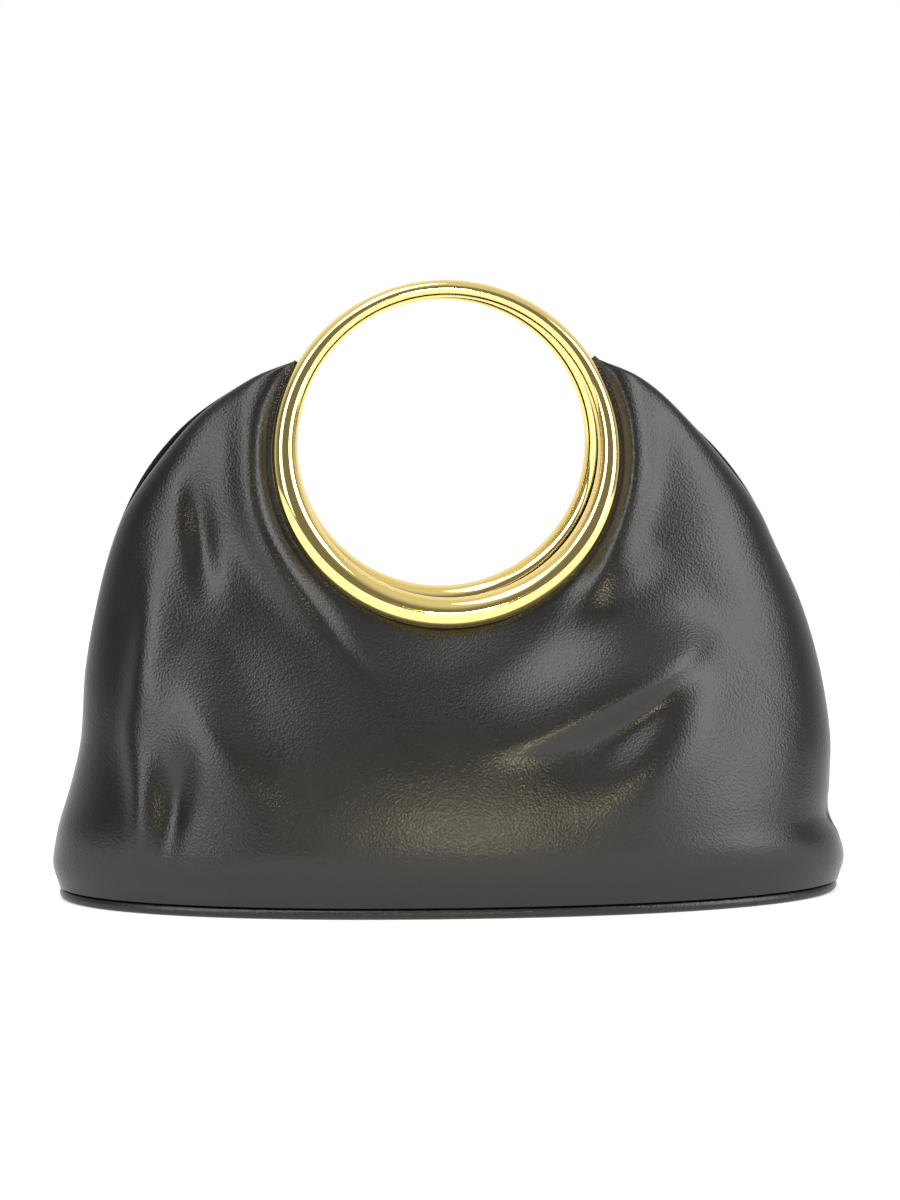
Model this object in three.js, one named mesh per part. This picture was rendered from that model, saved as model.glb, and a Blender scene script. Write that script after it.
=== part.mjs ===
// Soft half-moon handbag in black leather, carried by two polished metal rings.
// Each leather panel is gathered round a ring set in a notch in its top edge.
// The panels are sewn to each other at both ends and to a flat oval base with a piped seam.
// Millimetres, +Z up, X along the bag, -Y the front, origin under the middle of the base.

import * as THREE from 'three';
import { mergeVertices } from 'three/addons/utils/BufferGeometryUtils.js';

// Driving dimensions
const GAP = 0.3; // clearance between neighbouring pieces
const WALL = 2; // leather of the panels
const PIPING_RADIUS = 2.1;
const BASE_THICKNESS = 2.5;
const PANEL_FOOT = 2 * PIPING_RADIUS + GAP; // lowest edge of the panels

// Ring handles: an inner circle set above the outer one's centre leaves the top thin
const RING_OUTER = 64.4;
const RING_INNER = 55.5;
const RING_RISE = 2.6; // inner circle above the outer circle's centre
const RING_SHIFT = 0.5; // inner circle right of the outer circle's centre
const RING_CENTRE = { x: -3, y: -21, z: 167.3 };
const RING_LEAN = THREE.MathUtils.degToRad(7); // top of each ring leans over the mouth
const RING_AXIAL = { least: 1.8, share: 0.62 }; // half width, from the radial half width

// The leather holds the ring from one notch tip, under it, to the other tip.
// Its edge sits behind the ring's middle, where the ring is a little narrower.
const NOTCH = { left: THREE.MathUtils.degToRad(148), right: THREE.MathUtils.degToRad(33.5) };
const NOTCH_RISE = 0.4; // end seams start this far above the tips
const NOTCH_BACK = 1.5;
const NOTCH_TUCK = 0.2;

// Level sections of the body: height, half lengths, half depth and fullness of the oval
const SECTIONS = [
  { z: 4.5, left: 148.6, right: 149, depth: 52.6, full: 2.2 },
  { z: 13, left: 150.9, right: 151, depth: 54.6, full: 2.25 },
  { z: 22, left: 149.8, right: 148.6, depth: 55, full: 2.35 },
  { z: 30, left: 148, right: 144.4, depth: 54.2, full: 2.4 },
  { z: 42, left: 144.2, right: 144.8, depth: 52.2, full: 2.4 },
  { z: 60, left: 140, right: 145, depth: 48.2, full: 2.4 },
  { z: 86, left: 138, right: 140.8, depth: 41.5, full: 2.35 },
  { z: 110, left: 133.7, right: 133.6, depth: 35, full: 2.25 },
  { z: 132, left: 127.9, right: 123.6, depth: 31, full: 2.15 },
  { z: 152, left: 119.8, right: 113.9, depth: 28.5, full: 2.1 },
  { z: 168, left: 109.5, right: 102.3, depth: 26.5, full: 2.1 },
  { z: 182, left: 95.5, right: 87.8, depth: 24, full: 2.1 },
  { z: 195, left: 75, right: 70.5, depth: 21, full: 2.1 },
  { z: 200.6, left: 61, right: 57.2, depth: 19.5, full: 2.1 },
  { z: 205, left: 47, right: 47, depth: 18, full: 2.1 },
];

// Mouth: above its ends the two panels part, and the front edge hangs inside the back one
const MOUTH_END = 138;
const MOUTH_GAPE = { height: 62, reach: 15, bend: 1.25 };
const FRONT_SAG = 3;

// Lip that the leather raises round the notch: angle round the ring in degrees, how far its
// crest stands from the notch, and its height
const LIP = [
  { angle: 150, apart: 3, height: 0 },
  { angle: 165, apart: 7, height: 2.2 },
  { angle: 180, apart: 7, height: 3.2 },
  { angle: 200, apart: 8.5, height: 3.5 },
  { angle: 217, apart: 9, height: 3.2 },
  { angle: 232, apart: 12, height: 2.2 },
  { angle: 246, apart: 19, height: 1 },
  { angle: 258, apart: 24, height: 0 },
  { angle: 300, apart: 12, height: 0 },
  { angle: 315, apart: 9, height: 1.5 },
  { angle: 326, apart: 7, height: 2.5 },
  { angle: 340, apart: 5.5, height: 2.8 },
  { angle: 367, apart: 5, height: 2.8 },
  { angle: 382, apart: 5, height: 2.2 },
  { angle: 392, apart: 3, height: 0 },
];
const LIP_SLOPES = { inner: 5, outer: 8 };

// Folds as seen from the front: the two ends, how far the middle bows to the left of the way
// from one to the other, the height, the share of the way at which it is reached, and the
// widths of the slopes to the left and right
const FRONT_FOLDS = [
  { x0: 100, z0: 106, x1: 0, z1: 58, bow: 8, height: 6.5, peak: 0.42, left: 6, right: 27 },
  { x0: 98, z0: 116, x1: 44, z1: 24, bow: 5, height: 5.5, peak: 0.45, left: 21, right: 14 },
  { x0: 90, z0: 94, x1: 34, z1: 46, bow: 3, height: -3, peak: 0.45, left: 12, right: 9 },
  { x0: 58, z0: 117, x1: 2, z1: 77, bow: 0, height: -1.5, peak: 0.5, left: 13, right: 12 },
  { x0: 78, z0: 134, x1: 50, z1: 110, bow: 0, height: 1.5, peak: 0.5, left: 6, right: 8 },
  { x0: -98, z0: 168, x1: -90, z1: 106, bow: 0, height: -2.4, peak: 0.5, left: 6, right: 5 },
  { x0: -110, z0: 145, x1: -121, z1: 42, bow: 2, height: 3, peak: 0.6, left: 10, right: 6 },
  { x0: -121, z0: 80, x1: -119, z1: 6, bow: 5, height: 3, peak: 0.5, left: 9, right: 5 },
  { x0: -116, z0: 112, x1: -58, z1: 26, bow: -4, height: 4, peak: 0.5, left: 10, right: 20 },
  { x0: -92, z0: 112, x1: -60, z1: 56, bow: 0, height: -1, peak: 0.4, left: 14, right: 9 },
  { x0: -98, z0: 66, x1: -110, z1: 10, bow: 0, height: -2.4, peak: 0.45, left: 5, right: 9 },
  { x0: -124, z0: 10, x1: -50, z1: 22, bow: 0, height: 1.2, peak: 0.4, left: 9, right: 9 },
];
const BACK_FOLDS = [
  { x0: -104, z0: 130, x1: -70, z1: 40, bow: 4, height: 3, peak: 0.5, left: 14, right: 18 },
  { x0: 96, z0: 124, x1: 58, z1: 36, bow: -5, height: -4, peak: 0.45, left: 16, right: 12 },
  { x0: 60, z0: 106, x1: -10, z1: 62, bow: 4, height: 3, peak: 0.5, left: 10, right: 18 },
];
// Folds fade out towards the notch, in mm, and towards the outline, where the lip fades sooner
const CALM = { notch: 5, edge: 0.08, lip: 0.6 };

// Facets
const PANEL_ROUND = 60;
const PANEL_DOWN = 16;
const PANEL_CROWD = 1.35; // rows lie closer together near the notch
const RING_FACETS = { round: 48, section: 10 };
const PIPING_FACETS = { round: 80, section: 8 };

const leather = { color: '#1d1c1a', roughness: 0.42, metalness: 0 };
const gold = { color: '#d9b75c', roughness: 0.12, metalness: 1 };

function ease(x, reach) {
  const u = THREE.MathUtils.clamp(x / reach, 0, 1);
  return u * u * (3 - 2 * u);
}

// A column of a table against another, as a smooth curve through its rows
function curveValue(table, key, column, at) {
  const last = table.length - 1;
  let i = 0;
  while (i < last - 1 && table[i + 1][key] < at) i += 1;
  const slope = (k) => {
    const a = table[Math.max(k - 1, 0)];
    const b = table[Math.min(k + 1, last)];
    return (b[column] - a[column]) / (b[key] - a[key]);
  };
  const step = table[i + 1][key] - table[i][key];
  const u = THREE.MathUtils.clamp((at - table[i][key]) / step, 0, 1);
  const start = table[i][column] + (table[i + 1][column] - table[i][column]) * ease(u, 1);
  return start + step * u * (1 - u) * (slope(i) * (1 - u) - slope(i + 1) * u);
}

function sectionValue(column, height) {
  return curveValue(SECTIONS, 'z', column, height);
}

// How far above the mouth's ends a height lies: 0 at the ends, 1 at the rings
function mouthShare(height) {
  return Math.max(height - MOUTH_END, 0) / MOUTH_GAPE.height;
}

function halfLength(side, height, sag) {
  const column = side < 0 ? 'left' : 'right';
  const dip = Math.sin(Math.PI * Math.min(mouthShare(height), 1)) ** 2;
  return sectionValue(column, height) - sag * dip;
}

// Point of the smooth front surface: turn is 0 at the middle and 90 degrees either way at the ends
function bodyPoint(turn, height, sag) {
  const power = 2 / sectionValue('full', height);
  const edge = GAP / 2 + MOUTH_GAPE.reach * mouthShare(height) ** MOUTH_GAPE.bend;
  const along = halfLength(turn, height, sag) * Math.abs(Math.sin(turn)) ** power;
  const swell = Math.max(Math.cos(turn), 0) ** power;
  const out = edge + (sectionValue('depth', height) - edge) * swell;
  return new THREE.Vector3(Math.sign(turn) * along, -out, height);
}

// Point of the notch, which follows the ring's outer circle
function notchPoint(angle) {
  const radius = RING_OUTER + GAP - NOTCH_TUCK;
  return new THREE.Vector3(radius * Math.cos(angle), NOTCH_BACK, radius * Math.sin(angle))
    .applyAxisAngle(new THREE.Vector3(1, 0, 0), -RING_LEAN)
    .add(new THREE.Vector3(RING_CENTRE.x, RING_CENTRE.y, RING_CENTRE.z));
}

function notchTurn(point, sag) {
  const share = Math.abs(point.x) / halfLength(point.x, point.z, sag);
  return Math.sign(point.x) * Math.asin(share ** (sectionValue('full', point.z) / 2));
}

// Outer end of a line that runs from the notch: down one end, along the base, up the other end
const ENDS = { share: 0.25, crowd: 1.3, notch: THREE.MathUtils.degToRad(62) };
function outline(s) {
  const fromTip = Math.min(s, 1 - s) / ENDS.share;
  const side = s < 0.5 ? -1 : 1;
  const tip = notchPoint(side < 0 ? NOTCH.left : NOTCH.right).z + NOTCH_RISE;
  const lower = NOTCH.left + ENDS.notch;
  const span = NOTCH.right + 2 * Math.PI - ENDS.notch - lower;
  if (fromTip < 1) {
    const height = tip + (PANEL_FOOT - tip) * fromTip ** ENDS.crowd;
    const angle = (side < 0 ? NOTCH.left : NOTCH.right) - side * ENDS.notch * fromTip;
    return { turn: side * Math.PI / 2, height, angle };
  }
  const share = (s - ENDS.share) / (1 - 2 * ENDS.share);
  return { turn: Math.PI * (share - 0.5), height: PANEL_FOOT, angle: lower + span * share };
}

// Distance from the notch as seen from the front, and the height of the lip there
function lipAt(x, z) {
  const across = x - RING_CENTRE.x;
  const up = (z - RING_CENTRE.z) / Math.cos(RING_LEAN);
  const clear = Math.hypot(across, up) - (RING_OUTER + GAP);
  let angle = THREE.MathUtils.radToDeg(Math.atan2(up, across));
  if (angle < 90) angle += 360;
  const off = clear - curveValue(LIP, 'angle', 'apart', angle);
  const slope = off < 0 ? LIP_SLOPES.inner : LIP_SLOPES.outer;
  const height = curveValue(LIP, 'angle', 'height', angle) * Math.exp(-((off / slope) ** 2));
  return { clear, height };
}

// Height of the folds above the smooth surface
function foldHeight(folds, x, z) {
  let sum = 0;
  for (const fold of folds) {
    const start = new THREE.Vector2(fold.x0, fold.z0);
    const way = new THREE.Vector2(fold.x1, fold.z1).sub(start);
    const here = new THREE.Vector2(x, z).sub(start);
    const u = THREE.MathUtils.clamp(here.dot(way) / way.lengthSq(), 0, 1);
    const off = way.cross(here) / way.length() - fold.bow * 4 * u * (1 - u);
    const taper = ease(Math.min(u / fold.peak, (1 - u) / (1 - fold.peak)), 1);
    const slope = off > 0 ? fold.left : fold.right;
    sum += fold.height * taper * Math.exp(-((off / slope) ** 2));
  }
  return sum;
}

// Smooth surface with the seat at the ring: s round the notch, t from the notch to the outline
function smoothPoint(s, t, sag) {
  const end = outline(s);
  const seat = notchPoint(end.angle);
  const turn = notchTurn(seat, sag) * (1 - t) + end.turn * t;
  const height = seat.z * (1 - t) + end.height * t;
  const point = bodyPoint(turn, height, sag);
  const lift = seat.y - bodyPoint(notchTurn(seat, sag), seat.z, sag).y;
  point.y += lift * (1 - t) ** 3;
  return point;
}

function surfaceNormal(s, t, sag) {
  const step = 0.004;
  const s0 = Math.max(s - step, 0);
  const s1 = Math.min(s + step, 1);
  const t0 = Math.max(t - step, 0);
  const t1 = Math.min(t + step, 1);
  const round = smoothPoint(s1, t, sag).sub(smoothPoint(s0, t, sag));
  const down = smoothPoint(s, t1, sag).sub(smoothPoint(s, t0, sag));
  return down.cross(round).normalize();
}

// Point of the leather wall: depth 0 on the outside, 1 on the inside
function wallPoint(s, t, depth, sag, folds) {
  const point = smoothPoint(s, t, sag);
  const normal = surfaceNormal(s, t, sag);
  const lip = lipAt(point.x, point.z);
  const calm = ease(lip.clear, CALM.notch) * ease(1 - t, CALM.edge);
  const lipRise = lip.height * ease(1 - t, CALM.lip);
  const rise = (lipRise + foldHeight(folds, point.x, point.z)) * calm;
  point.addScaledVector(normal, rise - depth * WALL);
  point.y = Math.min(point.y, -GAP / 2); // the two panels stay on their own sides of the end seams
  return point;
}

function named(name, geometry, finish) {
  geometry.deleteAttribute('normal');
  geometry.deleteAttribute('uv');
  const closed = mergeVertices(geometry, 1e-3);
  closed.computeVertexNormals();
  const mesh = new THREE.Mesh(closed, new THREE.MeshStandardMaterial(finish));
  mesh.name = name;
  return mesh;
}

// Splits the quads of a slab so that the diagonals lean towards the middle on both halves and faces
function splitEvenly(slab) {
  const place = slab.attributes.position;
  const corners = slab.index.array;
  for (let i = 0; i < corners.length; i += 6) {
    const [a, b, d, , c] = corners.slice(i, i + 6);
    const side = place.getX(a) + place.getX(c);
    const face = place.getZ(a) + place.getZ(c);
    if (side * face > 0) corners.set([a, b, c, a, c, d], i);
  }
}

// A panel is a slab bent into place; the back one is the same slab mirrored
function panelGeometry(sag, folds) {
  const slab = new THREE.BoxGeometry(1, 1, 1, PANEL_ROUND, PANEL_DOWN, 1);
  splitEvenly(slab);
  const place = slab.attributes.position;
  for (let i = 0; i < place.count; i += 1) {
    const s = place.getX(i) + 0.5;
    const t = (0.5 - place.getY(i)) ** PANEL_CROWD;
    const point = wallPoint(s, t, 0.5 - place.getZ(i), sag, folds);
    place.setXYZ(i, point.x, point.y, point.z);
  }
  return slab;
}

function mirrored(geometry) {
  geometry.scale(1, -1, 1);
  const corners = geometry.index.array;
  for (let i = 0; i < corners.length; i += 3) {
    const first = corners[i];
    corners[i] = corners[i + 1];
    corners[i + 1] = first;
  }
  return geometry;
}

// Ring: a torus whose section shrinks towards the top
function ringGeometry() {
  const ring = new THREE.TorusGeometry(1, 0.5, RING_FACETS.section, RING_FACETS.round);
  const place = ring.attributes.position;
  for (let i = 0; i < place.count; i += 1) {
    const angle = Math.atan2(place.getY(i), place.getX(i));
    const across = 2 * (Math.hypot(place.getX(i), place.getY(i)) - 1);
    const along = 2 * place.getZ(i);
    const toward = RING_RISE * Math.sin(angle) + RING_SHIFT * Math.cos(angle);
    const aside = RING_RISE * Math.cos(angle) - RING_SHIFT * Math.sin(angle);
    const inner = toward + Math.sqrt(RING_INNER ** 2 - aside ** 2);
    const half = (RING_OUTER - inner) / 2;
    const radius = RING_OUTER - half + half * across;
    const axial = (RING_AXIAL.least + RING_AXIAL.share * half) * along;
    place.setXYZ(i, radius * Math.cos(angle), radius * Math.sin(angle), axial);
  }
  ring.rotateX(Math.PI / 2 - RING_LEAN);
  ring.translate(RING_CENTRE.x, RING_CENTRE.y, RING_CENTRE.z);
  return ring;
}

// Oval of the base at a distance inside the panels' lower edge
function baseOval(turn, inset) {
  const power = 2 / SECTIONS[0].full;
  const reach = (value) => Math.sign(value) * Math.abs(value) ** power;
  const x = (SECTIONS[0].left - inset) * reach(Math.cos(turn));
  const y = (SECTIONS[0].depth - inset) * reach(Math.sin(turn));
  return new THREE.Vector2(x, y);
}

function pipingGeometry() {
  const piping = new THREE.TorusGeometry(1, 0.5, PIPING_FACETS.section, PIPING_FACETS.round);
  const place = piping.attributes.position;
  for (let i = 0; i < place.count; i += 1) {
    const turn = Math.atan2(place.getY(i), place.getX(i));
    const across = 2 * (Math.hypot(place.getX(i), place.getY(i)) - 1);
    const path = baseOval(turn, PIPING_RADIUS * (1 - across));
    place.setXYZ(i, path.x, path.y, PIPING_RADIUS * (1 + 2 * place.getZ(i)));
  }
  return piping;
}

function basePanelGeometry() {
  const corners = [];
  for (let i = 0; i < PIPING_FACETS.round; i += 1) {
    const turn = (2 * Math.PI * i) / PIPING_FACETS.round;
    corners.push(baseOval(turn, 2 * PIPING_RADIUS + GAP));
  }
  const shape = new THREE.Shape(corners);
  return new THREE.ExtrudeGeometry(shape, { depth: BASE_THICKNESS, bevelEnabled: false });
}

const bag = new THREE.Group();
bag.name = 'ring_handle_handbag';
bag.add(named('front_panel', panelGeometry(FRONT_SAG, FRONT_FOLDS), leather));
bag.add(named('back_panel', mirrored(panelGeometry(0, BACK_FOLDS)), leather));
bag.add(named('base_panel', basePanelGeometry(), leather));
bag.add(named('base_piping', pipingGeometry(), leather));
bag.add(named('front_ring', ringGeometry(), gold));
bag.add(named('back_ring', mirrored(ringGeometry()), gold));

export default bag;
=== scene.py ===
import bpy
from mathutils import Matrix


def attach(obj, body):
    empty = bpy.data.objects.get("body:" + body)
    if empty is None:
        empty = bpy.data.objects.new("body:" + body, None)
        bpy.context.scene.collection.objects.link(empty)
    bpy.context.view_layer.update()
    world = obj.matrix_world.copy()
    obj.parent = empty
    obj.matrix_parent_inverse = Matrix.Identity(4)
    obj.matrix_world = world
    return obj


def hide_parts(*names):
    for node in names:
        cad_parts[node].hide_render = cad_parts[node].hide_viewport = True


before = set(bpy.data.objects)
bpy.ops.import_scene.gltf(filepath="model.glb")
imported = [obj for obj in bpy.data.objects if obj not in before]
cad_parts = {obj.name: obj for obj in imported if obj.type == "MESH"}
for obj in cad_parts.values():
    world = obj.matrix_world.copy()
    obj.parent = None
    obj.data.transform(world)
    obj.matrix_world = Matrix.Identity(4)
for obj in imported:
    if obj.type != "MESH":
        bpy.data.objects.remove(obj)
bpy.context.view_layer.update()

import math

import bpy
import numpy as np
from mathutils import Vector

bl_info = {
    "name": "Ring Handle Handbag",
    "version": (1, 0, 0),
    "blender": (4, 5, 0),
    "location": "View3D > Sidebar > Handbag",
    "description": "Builds a soft leather handbag with polished ring handles over its solid frame",
    "category": "Object",
}

MM = 0.001

# Level sections of the body in mm: height, half lengths, half depth and fullness of the oval
SECTION_COLUMNS = ("z", "left", "right", "depth", "full")
SECTIONS = (
    (4.5, 148.6, 149, 52.6, 2.2),
    (13, 150.9, 151, 54.6, 2.25),
    (22, 149.8, 148.6, 55, 2.35),
    (30, 148, 144.4, 54.2, 2.4),
    (42, 144.2, 144.8, 52.2, 2.4),
    (60, 140, 145, 48.2, 2.4),
    (86, 138, 140.8, 41.5, 2.35),
    (110, 133.7, 133.6, 35, 2.25),
    (132, 127.9, 123.6, 31, 2.15),
    (152, 119.8, 113.9, 28.5, 2.1),
    (168, 109.5, 102.3, 26.5, 2.1),
    (182, 95.5, 87.8, 24, 2.1),
    (195, 75, 70.5, 21, 2.1),
    (200.6, 61, 57.2, 19.5, 2.1),
    (205, 47, 47, 18, 2.1),
)

# Lip that the leather raises round the notch: angle round the ring in degrees, how far
# its crest stands from the notch and its height, in mm
LIP_COLUMNS = ("angle", "apart", "height")
LIP = (
    (150, 3, 0),
    (165, 7, 2.2),
    (180, 7, 3.2),
    (200, 8.5, 3.5),
    (217, 9, 3.2),
    (232, 12, 2.2),
    (246, 19, 1),
    (258, 24, 0),
    (300, 12, 0),
    (315, 9, 1.5),
    (326, 7, 2.5),
    (340, 5.5, 2.8),
    (367, 5, 2.8),
    (382, 5, 2.2),
    (392, 3, 0),
)
LIP_SLOPES = {"inner": 5, "outer": 8}

# Folds as seen from the front, in mm: the two ends, how far the middle bows to the left of
# the way from one to the other, the height, the share of the way at which it is reached,
# and the widths of the slopes to the left and right
FOLD_COLUMNS = ("x0", "z0", "x1", "z1", "bow", "height", "peak", "left", "right")
FRONT_FOLDS = (
    (100, 106, 0, 58, 8, 6.5, 0.42, 6, 27),
    (98, 116, 44, 24, 5, 5.5, 0.45, 21, 14),
    (90, 94, 34, 46, 3, -3, 0.45, 12, 9),
    (58, 117, 2, 77, 0, -1.5, 0.5, 13, 12),
    (78, 134, 50, 110, 0, 1.5, 0.5, 6, 8),
    (-98, 168, -90, 106, 0, -2.4, 0.5, 6, 5),
    (-110, 145, -121, 42, 2, 3, 0.6, 10, 6),
    (-121, 80, -119, 6, 5, 3, 0.5, 9, 5),
    (-116, 112, -58, 26, -4, 4, 0.5, 10, 20),
    (-92, 112, -60, 56, 0, -1, 0.4, 14, 9),
    (-98, 66, -110, 10, 0, -2.4, 0.45, 5, 9),
    (-124, 10, -50, 22, 0, 1.2, 0.4, 9, 9),
)
BACK_FOLDS = (
    (-104, 130, -70, 40, 4, 3, 0.5, 14, 18),
    (96, 124, 58, 36, -5, -4, 0.45, 16, 12),
    (60, 106, -10, 62, 4, 3, 0.5, 10, 18),
)


def linear(hex_colour):
    """Linear RGBA from an sRGB hex colour."""
    parts = [int(hex_colour[i:i + 2], 16) / 255 for i in (1, 3, 5)]
    levels = [c / 12.92 if c <= 0.04045 else ((c + 0.055) / 1.055) ** 2.4 for c in parts]
    return (*levels, 1.0)


def length(label, words, default_mm):
    """A size that a user can change, given in mm and held in metres."""
    return bpy.props.FloatProperty(
        name=label, description=words, default=default_mm * MM, unit="LENGTH", precision=5
    )


def colour(label, words, hex_colour):
    """A colour that a user can change, given as an sRGB hex value."""
    return bpy.props.FloatVectorProperty(
        name=label, description=words, default=linear(hex_colour),
        size=4, min=0, max=1, subtype="COLOR",
    )


class BagSizes(bpy.types.PropertyGroup):
    """Sizes of the bag's pieces"""

    gap: length("Gap", "Clearance between neighbouring pieces", 0.3)
    wall: length("Leather", "Thickness of the panels' leather", 2)
    rim: length("Edge rounding", "Rounding of the leather's cut edges", 0.7)
    piping: length("Piping radius", "Radius of the piping round the base", 2.1)
    ring_outer: length("Ring outside", "Outer radius of a ring handle", 64.4)
    ring_inner: length("Ring inside", "Inner radius of a ring handle", 55.5)
    ring_rise: length("Ring rise", "Inner circle above the outer one's centre", 2.6)
    ring_shift: length("Ring shift", "Inner circle right of the outer one's centre", 0.5)
    ring_x: length("Ring place X", "Ring centre along the bag", -3)
    ring_y: length("Ring place Y", "Ring centre in front of the middle", -21)
    ring_z: length("Ring place Z", "Ring centre above the floor", 167.3)
    ring_lean: bpy.props.FloatProperty(
        name="Ring lean", description="How far each ring leans over the mouth",
        default=math.radians(7), subtype="ANGLE",
    )
    mouth_end: length("Mouth end", "Height at which the panels part", 138)
    front_sag: length("Front sag", "How far the front edge hangs inside the back one", 3)


class BagColours(bpy.types.PropertyGroup):
    """Colours of the bag's materials"""

    leather: colour("Leather", "Dyed face of the leather", "#0a0a08")
    grain: colour("Leather grain", "Dye in the hollows of the grain", "#060605")
    flesh: colour("Leather inside", "Raw inner side of the leather", "#2a2724")
    gold: colour("Gold plating", "Polished plating of the rings", "#f1d88a")
    floor: colour("Floor", "Pale studio floor", "#f4f4f2")


# Notch in mm: how far the panel's tips stand above it, how far its edge lies behind the
# ring's middle, and how far the edge tucks in under the ring's outer circle with its gap
NOTCH_RISE = 0.4
NOTCH_BACK = 1.5
NOTCH_TUCK = 0.2
# Angles round the ring at which the notch starts and stops, and the part of it beside each end
NOTCH_LEFT = math.radians(148)
NOTCH_RIGHT = math.radians(33.5)
NOTCH_ENDS = math.radians(62)
# Share of the way round the notch that runs to each end seam, and how it crowds at the tip
END_SHARE = 0.25
END_CROWD = 1.3
# Power by which the set of the leather at the ring fades away from it
SEAT_FADE = 3
# Folds die out within 5 mm of the notch and in the last 8 hundredths of the way to the
# outline, and the lip in the last 6 tenths
CALM = {"notch": 5, "edge": 0.08, "lip": 0.6}
# Mouth between the panels in mm: its height, half its width at the top and how its edge bends
GAPE = {"height": 62, "reach": 15, "bend": 1.25}
# Step on the panel's two ways across which its slope is taken
SLOPE_STEP = 0.004
# Ring's half width along its axis: the least in mm, and the share of half its thickness
RING_AXIAL = {"least": 1.8, "share": 0.62}

# Fineness of the meshes. The panels' rows crowd towards the notch, and edges that turn by
# more than the rim angle are rounded
PANEL_GRID = {"round": 280, "down": 90}
PANEL_CROWD = 1.2
RING_FACETS = {"round": 192, "section": 48}
PIPING_FACETS = {"round": 480, "section": 16}
RIM_FACETS = 3
RIM_ANGLE = math.radians(50)

# Leather in mm: the width of a pebble of the grain, a pore, a patch of even dye and the nap,
# and how deep they are. Pebbles and pores are drawn coarser than on a hide, so that they show
GRAIN_WIDTH = {"pebble": 0.9, "pore": 0.45, "dye": 30, "nap": 0.6}
GRAIN_DEPTH = {"pebble": 0.18, "pore": 0.08, "nap": 0.15}
# Polished metal in mm: the width of a wave left by hand polishing, its depth, and a scuff's width
POLISH = {"wave": 14, "depth": 0.4, "scuff": 3}

# Studio lights: place and size in metres, power in watts and colour
LIGHT_COLUMNS = ("name", "spot", "size", "power", "tint")
LIGHTS = (
    ("key_left", (-0.79, -1.01, 0.63), (0.49, 1.05), 7.8, "#ffffff"),
    ("key_right", (0.98, -0.82, 0.58), (0.65, 1.2), 12.8, "#ffffff"),
    ("high_left", (-0.3, -0.64, 1.3), (0.5, 0.9), 6.5, "#ffffff"),
    ("front_warm", (0.052, -0.62, 0.138), (0.07, 0.06), 0.6, "#fff0c8"),
)
LIGHT_AIM = (0, 0, 0.1)
# Walls and ceiling of the studio: the axis along which the light grows, from where to where,
# and its strength there
ROOM_COLUMNS = ("axis", "start", "end", "dim", "bright")
ROOM = (
    ("Y", -0.3, 0.4, 0.22, 1.0),
    ("Z", 0.45, 0.8, 0.22, 0.8),
)
# Floor: its width in metres, and how strongly it glows
FLOOR = {"size": 3, "glow": 0.36}
# Camera: place and aim in metres, focal length and film height in mm
CAMERA = {"spot": (-0.0581, -0.898, 0.1895), "aim": (-0.0006, 0, 0.1115), "lens": 71.5, "film": 36}


def ease(x, reach):
    """Smooth step from 0 to 1 over the reach."""
    u = np.clip(x / reach, 0, 1)
    return u * u * (3 - 2 * u)


def curve(columns, table, name, at):
    """A column of a table against its first one, as a smooth curve through the rows."""
    rows = np.array(table)
    places, values = rows[:, 0], rows[:, columns.index(name)]
    slopes = np.empty_like(values)
    slopes[1:-1] = (values[2:] - values[:-2]) / (places[2:] - places[:-2])
    slopes[0] = (values[1] - values[0]) / (places[1] - places[0])
    slopes[-1] = (values[-1] - values[-2]) / (places[-1] - places[-2])
    i = np.clip(np.searchsorted(places, at) - 1, 0, len(places) - 2)
    step = places[i + 1] - places[i]
    u = np.clip((at - places[i]) / step, 0, 1)
    start = values[i] + (values[i + 1] - values[i]) * ease(u, 1)
    return start + step * u * (1 - u) * (slopes[i] * (1 - u) - slopes[i + 1] * u)


def section(name, z):
    """A column of the level sections at a height in mm."""
    return curve(SECTION_COLUMNS, SECTIONS, name, z)


def body_point(sizes, turn, z, sag):
    """Points of the smooth front surface in mm: turn is 0 at the middle, 90 degrees at the ends."""
    mouth = np.maximum(z - sizes.mouth_end / MM, 0) / GAPE["height"]
    half = np.where(turn < 0, section("left", z), section("right", z))
    half = half - sag * np.sin(np.pi * np.minimum(mouth, 1)) ** 2
    edge = sizes.gap / MM / 2 + GAPE["reach"] * mouth ** GAPE["bend"]
    power = 2 / section("full", z)
    along = half * np.abs(np.sin(turn)) ** power
    swell = np.maximum(np.cos(turn), 0) ** power
    out = edge + (section("depth", z) - edge) * swell
    return np.stack([np.sign(turn) * along, -out, z], axis=-1), half


def notch_point(sizes, angle):
    """Points of the round notch, which follows the ring's outer circle."""
    radius = (sizes.ring_outer + sizes.gap) / MM - NOTCH_TUCK
    up = radius * np.sin(angle)
    x = sizes.ring_x / MM + radius * np.cos(angle)
    y = sizes.ring_y / MM + up * math.sin(sizes.ring_lean) + NOTCH_BACK * math.cos(sizes.ring_lean)
    z = sizes.ring_z / MM + up * math.cos(sizes.ring_lean) - NOTCH_BACK * math.sin(sizes.ring_lean)
    return np.stack([x, y, z], axis=-1)


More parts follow.
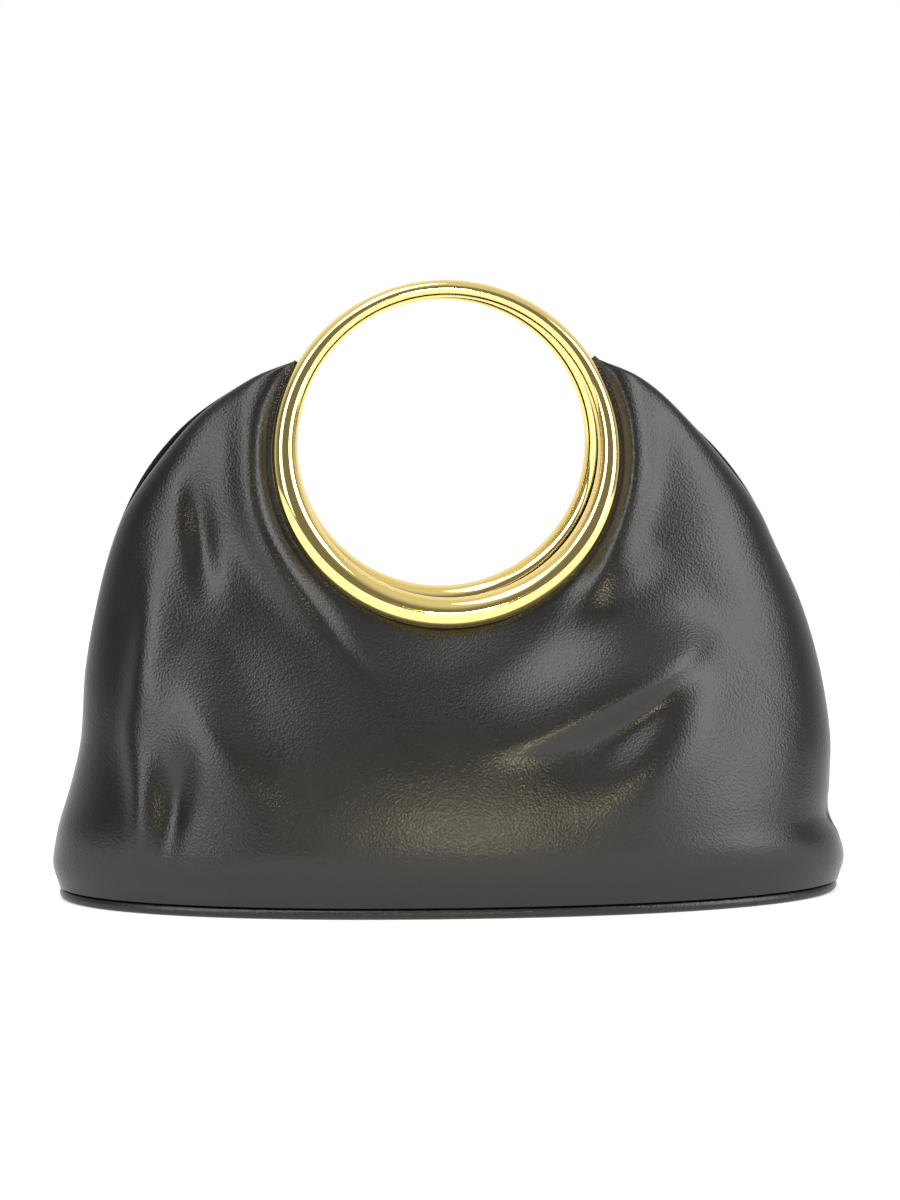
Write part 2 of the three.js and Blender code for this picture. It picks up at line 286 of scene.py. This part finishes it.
def outline(sizes, s):
    """Outer end of each line from the notch: down one end, along the base, up the other end."""
    foot = 2 * sizes.piping / MM + sizes.gap / MM
    side = np.where(s < 0.5, -1.0, 1.0)
    tip_angle = np.where(s < 0.5, NOTCH_LEFT, NOTCH_RIGHT)
    tip = notch_point(sizes, tip_angle)[..., 2] + NOTCH_RISE
    from_tip = np.minimum(s, 1 - s) / END_SHARE
    lower = NOTCH_LEFT + NOTCH_ENDS
    span = NOTCH_RIGHT + 2 * math.pi - NOTCH_ENDS - lower
    share = (s - END_SHARE) / (1 - 2 * END_SHARE)
    at_end = from_tip < 1
    crowd = np.minimum(from_tip, 1) ** END_CROWD
    z = np.where(at_end, tip + (foot - tip) * crowd, foot)
    turn = np.where(at_end, side * math.pi / 2, math.pi * (share - 0.5))
    angle = np.where(at_end, tip_angle - side * NOTCH_ENDS * from_tip, lower + span * share)
    return turn, z, angle


def smooth_point(sizes, s, t, sag):
    """Smooth surface with the seat at the ring: s round the notch, t from the notch outwards."""
    end_turn, end_z, angle = outline(sizes, s)
    seat = notch_point(sizes, angle)
    # The half length depends on the side alone, so the seat's own X stands for its turn
    half = body_point(sizes, seat[..., 0], seat[..., 2], sag)[1]
    share = np.clip(np.abs(seat[..., 0]) / half, 0, 1)
    seat_turn = np.sign(seat[..., 0]) * np.arcsin(share ** (section("full", seat[..., 2]) / 2))
    turn = seat_turn * (1 - t) + end_turn * t
    z = seat[..., 2] * (1 - t) + end_z * t
    point = body_point(sizes, turn, z, sag)[0]
    lift = seat[..., 1] - body_point(sizes, seat_turn, seat[..., 2], sag)[0][..., 1]
    point[..., 1] += lift * (1 - t) ** SEAT_FADE
    return point


def lip_height(sizes, x, z):
    """Height of the lip above the smooth surface, and the distance from the notch, in mm."""
    across = x - sizes.ring_x / MM
    up = (z - sizes.ring_z / MM) / math.cos(sizes.ring_lean)
    angle = (np.degrees(np.arctan2(up, across)) - 90) % 360 + 90
    clear = np.hypot(across, up) - (sizes.ring_outer + sizes.gap) / MM
    off = clear - curve(LIP_COLUMNS, LIP, "apart", angle)
    slope = np.where(off < 0, LIP_SLOPES["inner"], LIP_SLOPES["outer"])
    return curve(LIP_COLUMNS, LIP, "height", angle) * np.exp(-((off / slope) ** 2)), clear


def fold_height(folds, x, z):
    """Height of the folds above the smooth surface, in mm."""
    total = np.zeros_like(x)
    for row in folds:
        fold = dict(zip(FOLD_COLUMNS, row))
        dx, dz = fold["x1"] - fold["x0"], fold["z1"] - fold["z0"]
        far = math.hypot(dx, dz)
        x_in, z_in = x - fold["x0"], z - fold["z0"]
        u = np.clip((x_in * dx + z_in * dz) / far ** 2, 0, 1)
        off = (z_in * dx - x_in * dz) / far - fold["bow"] * 4 * u * (1 - u)
        taper = ease(np.minimum(u / fold["peak"], (1 - u) / (1 - fold["peak"])), 1)
        slope = np.where(off > 0, fold["left"], fold["right"])
        total += fold["height"] * taper * np.exp(-((off / slope) ** 2))
    return total


def leather_surface(sizes, s, t, sag, folds):
    """Outer surface of a panel in metres, as if it were the front one."""
    point = smooth_point(sizes, s, t, sag)
    s_back, s_on = np.clip(s - SLOPE_STEP, 0, 1), np.clip(s + SLOPE_STEP, 0, 1)
    t_back, t_on = np.clip(t - SLOPE_STEP, 0, 1), np.clip(t + SLOPE_STEP, 0, 1)
    along = smooth_point(sizes, s_on, t, sag) - smooth_point(sizes, s_back, t, sag)
    down = smooth_point(sizes, s, t_on, sag) - smooth_point(sizes, s, t_back, sag)
    normal = np.cross(down, along)
    normal /= np.linalg.norm(normal, axis=-1, keepdims=True)
    x, z = point[..., 0], point[..., 2]
    lip, clear = lip_height(sizes, x, z)
    calm = ease(clear, CALM["notch"]) * ease(1 - t, CALM["edge"])
    rise = (lip * ease(1 - t, CALM["lip"]) + fold_height(folds, x, z)) * calm
    return (point + normal * rise[..., None]) * MM


# Tools shared by the operators


def fresh():
    """Object mode with nothing selected."""
    if bpy.context.object and bpy.context.object.mode != "OBJECT":
        bpy.ops.object.mode_set(mode="OBJECT")
    bpy.ops.object.select_all(action="DESELECT")


def coordinates(mesh):
    """A mesh's points as rows of an array."""
    co = np.empty(len(mesh.vertices) * 3)
    mesh.vertices.foreach_get("co", co)
    return co.reshape(-1, 3)


def place(mesh, co):
    """Moves a mesh's points to the rows of an array."""
    mesh.vertices.foreach_set("co", np.ascontiguousarray(co).ravel())
    mesh.update()


def unit_torus(facets):
    """A torus to be shaped: each point's turn, and its place across and along, from -1 to 1."""
    fresh()
    bpy.ops.mesh.primitive_torus_add(
        major_segments=facets["round"], minor_segments=facets["section"],
        major_radius=1, minor_radius=0.5,
    )
    obj = bpy.context.object
    co = coordinates(obj.data)
    turn = np.arctan2(co[:, 1], co[:, 0])
    across = 2 * (np.hypot(co[:, 0], co[:, 1]) - 1)
    return obj, turn, across, 2 * co[:, 2]


def finish_with(obj, kind, **settings):
    """Adds a modifier and applies it."""
    modifier = obj.modifiers.new(kind.title(), kind)
    for name, value in settings.items():
        setattr(modifier, name, value)
    bpy.ops.object.modifier_apply(modifier=modifier.name)


def dress(obj, name, node, slot, *materials):
    """Names a piece, gives it its materials and lets it stand for its solid."""
    obj.name = obj.data.name = name
    for material in materials:
        obj.data.materials.append(material)
    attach(obj, "root")
    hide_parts(node)


def add(tree, kind, settings=None, **links):
    """Adds a node with its settings and its inputs: a value, or another node's output.

    An input goes by its name, or by i and its number where names repeat.
    """
    node = tree.nodes.new(kind)
    for key, value in (settings or {}).items():
        setattr(node, key, value)
    for key, value in links.items():
        numbered = key[0] == "i" and key[1:].isdigit()
        socket = node.inputs[int(key[1:]) if numbered else key.replace("_", " ")]
        if isinstance(value, bpy.types.NodeSocket):
            tree.links.new(value, socket)
        else:
            socket.default_value = value
    return node


def blank_material(name):
    """A new material with an empty node tree, or one made before and no tree."""
    old = bpy.data.materials.get(name)
    if old:
        return old, None
    material = bpy.data.materials.new(name)
    material.use_nodes = True
    material.node_tree.nodes.clear()
    return material, material.node_tree


def black_leather(colours):
    """Full grain cowhide, drum dyed black and lightly plated: a soft sheen on a fine grain."""
    material, tree = blank_material("full_grain_leather_dyed_black")
    if tree is None:
        return material
    where = add(tree, "ShaderNodeTexCoord").outputs["Object"]
    pebble = add(
        tree, "ShaderNodeTexVoronoi", {"feature": "F1"}, Vector=where,
        Scale=1 / (GRAIN_WIDTH["pebble"] * MM), Randomness=1.0,
    )
    pores = add(
        tree, "ShaderNodeTexNoise", Vector=where,
        Scale=1 / (GRAIN_WIDTH["pore"] * MM), Detail=3.0, Roughness=0.6,
    )
    # The dye and the plating drift a little from patch to patch
    drift = add(
        tree, "ShaderNodeTexNoise", Vector=where,
        Scale=1 / (GRAIN_WIDTH["dye"] * MM), Detail=4.0, Roughness=0.55,
    )
    tint = add(
        tree, "ShaderNodeMix", {"data_type": "RGBA"}, Factor=drift.outputs["Fac"],
        i6=tuple(colours.grain), i7=tuple(colours.leather),
    )
    sheen = add(
        tree, "ShaderNodeMapRange", Value=drift.outputs["Fac"],
        From_Min=0.3, From_Max=0.7, To_Min=0.27, To_Max=0.33,
    )
    low = add(
        tree, "ShaderNodeBump", Height=pebble.outputs["Distance"],
        Strength=0.4, Distance=GRAIN_DEPTH["pebble"] * MM,
    )
    fine = add(
        tree, "ShaderNodeBump", Height=pores.outputs["Fac"],
        Strength=0.3, Distance=GRAIN_DEPTH["pore"] * MM, Normal=low.outputs["Normal"],
    )
    skin = add(
        tree, "ShaderNodeBsdfPrincipled", Base_Color=tint.outputs[2],
        Roughness=sheen.outputs["Result"], Normal=fine.outputs["Normal"], IOR=1.5,
    )
    add(tree, "ShaderNodeOutputMaterial", Surface=skin.outputs["BSDF"])
    return material


def raw_leather(colours):
    """Flesh side of the same hide, shaved but not dyed through: dull, with a short nap."""
    material, tree = blank_material("leather_flesh_side_shaved")
    if tree is None:
        return material
    where = add(tree, "ShaderNodeTexCoord").outputs["Object"]
    nap = add(
        tree, "ShaderNodeTexNoise", Vector=where,
        Scale=1 / (GRAIN_WIDTH["nap"] * MM), Detail=4.0, Roughness=0.7,
    )
    tint = add(
        tree, "ShaderNodeMix", {"data_type": "RGBA"}, Factor=nap.outputs["Fac"],
        i6=tuple(colours.grain), i7=tuple(colours.flesh),
    )
    rough = add(
        tree, "ShaderNodeBump", Height=nap.outputs["Fac"],
        Strength=0.5, Distance=GRAIN_DEPTH["nap"] * MM,
    )
    skin = add(
        tree, "ShaderNodeBsdfPrincipled", Base_Color=tint.outputs[2],
        Roughness=0.85, Normal=rough.outputs["Normal"],
    )
    add(tree, "ShaderNodeOutputMaterial", Surface=skin.outputs["BSDF"])
    return material


def gold_plating(colours):
    """Zinc alloy, cast, polished and gold plated: a mirror with the waviness of hand polishing."""
    material, tree = blank_material("cast_zinc_polished_gold_plated")
    if tree is None:
        return material
    where = add(tree, "ShaderNodeTexCoord").outputs["Object"]
    wave = add(
        tree, "ShaderNodeTexNoise", Vector=where, Scale=1 / (POLISH["wave"] * MM), Detail=1.0
    )
    soft = add(
        tree, "ShaderNodeBump", Height=wave.outputs["Fac"],
        Strength=0.06, Distance=POLISH["depth"] * MM,
    )
    scuffs = add(
        tree, "ShaderNodeTexNoise", Vector=where,
        Scale=1 / (POLISH["scuff"] * MM), Detail=5.0, Roughness=0.7,
    )
    polish = add(
        tree, "ShaderNodeMapRange", Value=scuffs.outputs["Fac"],
        From_Min=0.3, From_Max=0.8, To_Min=0.05, To_Max=0.1,
    )
    metal = add(
        tree, "ShaderNodeBsdfPrincipled", Base_Color=tuple(colours.gold), Metallic=1.0,
        Roughness=polish.outputs["Result"], Normal=soft.outputs["Normal"],
    )
    add(tree, "ShaderNodeOutputMaterial", Surface=metal.outputs["BSDF"])
    return material


class BAG_OT_panels(bpy.types.Operator):
    """Build the front and back leather panels"""

    bl_idname = "bag.panels"
    bl_label = "Leather panels"

    def execute(self, context):
        sizes = context.scene.bag_sizes
        colours = context.scene.bag_colours
        self.panel(sizes, colours, "front", 1, sizes.front_sag / MM, FRONT_FOLDS)
        self.panel(sizes, colours, "back", -1, 0, BACK_FOLDS)
        return {"FINISHED"}

    def panel(self, sizes, colours, name, facing, sag, folds):
        """One panel: a grid laid on its outer surface, then given the leather's thickness."""
        fresh()
        bpy.ops.mesh.primitive_grid_add(
            x_subdivisions=PANEL_GRID["round"], y_subdivisions=PANEL_GRID["down"], size=1
        )
        obj = bpy.context.object
        flat = coordinates(obj.data)
        s = np.clip(flat[:, 0] + 0.5, 0, 1)
        t = np.clip(0.5 - flat[:, 1], 0, 1) ** PANEL_CROWD
        co = leather_surface(sizes, s, t, sag, folds)
        co[:, 1] *= facing
        place(obj.data, co)
        bpy.ops.object.mode_set(mode="EDIT")
        bpy.ops.mesh.select_all(action="SELECT")
        if facing < 0:
            bpy.ops.mesh.flip_normals()
        bpy.ops.object.mode_set(mode="OBJECT")
        finish_with(obj, "SOLIDIFY", thickness=sizes.wall, offset=-1, material_offset=1)
        co = coordinates(obj.data)
        co[:, 1] = np.minimum(co[:, 1] * facing, -sizes.gap / 2) * facing
        place(obj.data, co)
        finish_with(
            obj, "BEVEL", width=sizes.rim, segments=RIM_FACETS,
            limit_method="ANGLE", angle_limit=RIM_ANGLE,
        )
        bpy.ops.object.shade_smooth()
        sides = black_leather(colours), raw_leather(colours)
        dress(obj, name + "_leather", name + "_panel", "leather", *sides)


class BAG_OT_rings(bpy.types.Operator):
    """Build the two ring handles"""

    bl_idname = "bag.rings"
    bl_label = "Ring handles"

    def execute(self, context):
        sizes = context.scene.bag_sizes
        lean = sizes.ring_lean
        for name, facing in (("front", 1), ("back", -1)):
            obj, angle, across, along = unit_torus(RING_FACETS)
            toward = sizes.ring_rise * np.sin(angle) + sizes.ring_shift * np.cos(angle)
            aside = sizes.ring_rise * np.cos(angle) - sizes.ring_shift * np.sin(angle)
            inner = toward + np.sqrt(sizes.ring_inner ** 2 - aside ** 2)
            half = (sizes.ring_outer - inner) / 2
            radius = sizes.ring_outer - half + half * across
            axial = (RING_AXIAL["least"] * MM + RING_AXIAL["share"] * half) * along
            up = radius * np.sin(angle)
            x = sizes.ring_x + radius * np.cos(angle)
            y = sizes.ring_y + up * math.sin(lean) - axial * math.cos(lean)
            z = sizes.ring_z + up * math.cos(lean) + axial * math.sin(lean)
            place(obj.data, np.stack([x, y * facing, z], axis=-1))
            bpy.ops.object.mode_set(mode="EDIT")
            bpy.ops.mesh.select_all(action="SELECT")
            bpy.ops.mesh.normals_make_consistent(inside=False)
            bpy.ops.object.mode_set(mode="OBJECT")
            bpy.ops.object.shade_smooth()
            gold = gold_plating(context.scene.bag_colours)
            dress(obj, name + "_ring_handle", name + "_ring", "gold_metal", gold)
        return {"FINISHED"}


class BAG_OT_base(bpy.types.Operator):
    """Build the piping round the base and dress the base panel"""

    bl_idname = "bag.base"
    bl_label = "Base and piping"

    def execute(self, context):
        sizes = context.scene.bag_sizes
        leather = black_leather(context.scene.bag_colours)
        obj, turn, across, along = unit_torus(PIPING_FACETS)
        foot = dict(zip(SECTION_COLUMNS, SECTIONS[0]))
        inset = sizes.piping * (1 - across)
        reach = [np.sign(f) * np.abs(f) ** (2 / foot["full"]) for f in (np.cos(turn), np.sin(turn))]
        x = (foot["left"] * MM - inset) * reach[0]
        y = (foot["depth"] * MM - inset) * reach[1]
        place(obj.data, np.stack([x, y, sizes.piping * (1 + along)], axis=-1))
        bpy.ops.object.shade_smooth()
        dress(obj, "piping_round_base", "base_piping", "piping_leather", leather)
        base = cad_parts["base_panel"]
        base.data.materials.clear()
        base.data.materials.append(leather)
        return {"FINISHED"}


class BAG_OT_stage(bpy.types.Operator):
    """Build the floor, the studio lights and the camera"""

    bl_idname = "bag.stage"
    bl_label = "Studio"

    def execute(self, context):
        scene = context.scene
        self.floor(scene.bag_colours)
        for row in LIGHTS:
            self.light(**dict(zip(LIGHT_COLUMNS, row)))
        self.world(scene)
        self.camera(scene)
        scene.view_settings.view_transform = "Standard"
        return {"FINISHED"}

    def floor(self, colours):
        """Matte vinyl with a little glow of its own, as on a light table."""
        fresh()
        bpy.ops.mesh.primitive_plane_add(size=FLOOR["size"])
        obj = bpy.context.object
        obj.name = "studio_floor"
        material, tree = blank_material("matte_white_vinyl")
        if tree is not None:
            paint = add(
                tree, "ShaderNodeBsdfPrincipled", Base_Color=tuple(colours.floor), Roughness=0.8,
                Emission_Color=tuple(colours.floor), Emission_Strength=FLOOR["glow"],
            )
            add(tree, "ShaderNodeOutputMaterial", Surface=paint.outputs["BSDF"])
        obj.data.materials.append(material)

    def light(self, name, spot, size, power, tint):
        """A softbox turned towards the bag."""
        data = bpy.data.lights.new(name, "AREA")
        data.shape = "RECTANGLE"
        data.size, data.size_y = size
        data.energy = power
        data.color = linear(tint)[:3]
        obj = bpy.data.objects.new(name, data)
        bpy.context.scene.collection.objects.link(obj)
        obj.location = spot
        aim = Vector(LIGHT_AIM) - Vector(spot)
        obj.rotation_euler = aim.to_track_quat("-Z", "Y").to_euler()

    def world(self, scene):
        """A white studio, dimmer in front of the bag than behind and above it."""
        scene.world = bpy.data.worlds.new("studio_white")
        scene.world.use_nodes = True
        tree = scene.world.node_tree
        tree.nodes.clear()
        seen = add(tree, "ShaderNodeLightPath")
        around = add(tree, "ShaderNodeTexCoord").outputs["Generated"]
        way = add(tree, "ShaderNodeSeparateXYZ", Vector=around)
        strength = seen.outputs["Is Camera Ray"]
        for row in ROOM:
            side = dict(zip(ROOM_COLUMNS, row))
            grow = add(
                tree, "ShaderNodeMapRange", Value=way.outputs[side["axis"]],
                From_Min=side["start"], From_Max=side["end"],
                To_Min=side["dim"], To_Max=side["bright"],
            )
            most = add(
                tree, "ShaderNodeMath", {"operation": "MAXIMUM"},
                i0=strength, i1=grow.outputs["Result"],
            )
            strength = most.outputs["Value"]
        white = add(tree, "ShaderNodeBackground", Color=(1, 1, 1, 1), Strength=strength)
        add(tree, "ShaderNodeOutputWorld", Surface=white.outputs["Background"])

    def camera(self, scene):
        """The camera at the photograph's angle."""
        data = bpy.data.cameras.new("photo_camera")
        camera = bpy.data.objects.new("photo_camera", data)
        scene.collection.objects.link(camera)
        camera.location = CAMERA["spot"]
        aim = Vector(CAMERA["aim"]) - camera.location
        camera.rotation_euler = aim.to_track_quat("-Z", "Y").to_euler()
        data.sensor_fit = "VERTICAL"
        data.sensor_height = CAMERA["film"]
        data.lens = CAMERA["lens"]
        scene.camera = camera


class BAG_PT_sidebar(bpy.types.Panel):
    """Lists the bag's pieces and sizes"""

    bl_idname = "BAG_PT_sidebar"
    bl_label = "Handbag"
    bl_space_type = "VIEW_3D"
    bl_region_type = "UI"
    bl_category = "Handbag"

    def draw(self, context):
        for operator in OPERATORS:
            self.layout.operator(operator.bl_idname)
        for group in (context.scene.bag_sizes, context.scene.bag_colours):
            for name in group.__annotations__:
                self.layout.prop(group, name)


OPERATORS = (BAG_OT_panels, BAG_OT_rings, BAG_OT_base, BAG_OT_stage)
CLASSES = (BagSizes, BagColours, *OPERATORS, BAG_PT_sidebar)


def register():
    for cls in CLASSES:
        bpy.utils.register_class(cls)
    bpy.types.Scene.bag_sizes = bpy.props.PointerProperty(type=BagSizes)
    bpy.types.Scene.bag_colours = bpy.props.PointerProperty(type=BagColours)


def unregister():
    del bpy.types.Scene.bag_colours
    del bpy.types.Scene.bag_sizes
    for cls in reversed(CLASSES):
        bpy.utils.unregister_class(cls)


def main():
    register()
    bpy.ops.bag.panels()
    bpy.ops.bag.rings()
    bpy.ops.bag.base()
    bpy.ops.bag.stage()


if __name__ == "__main__":
    main()
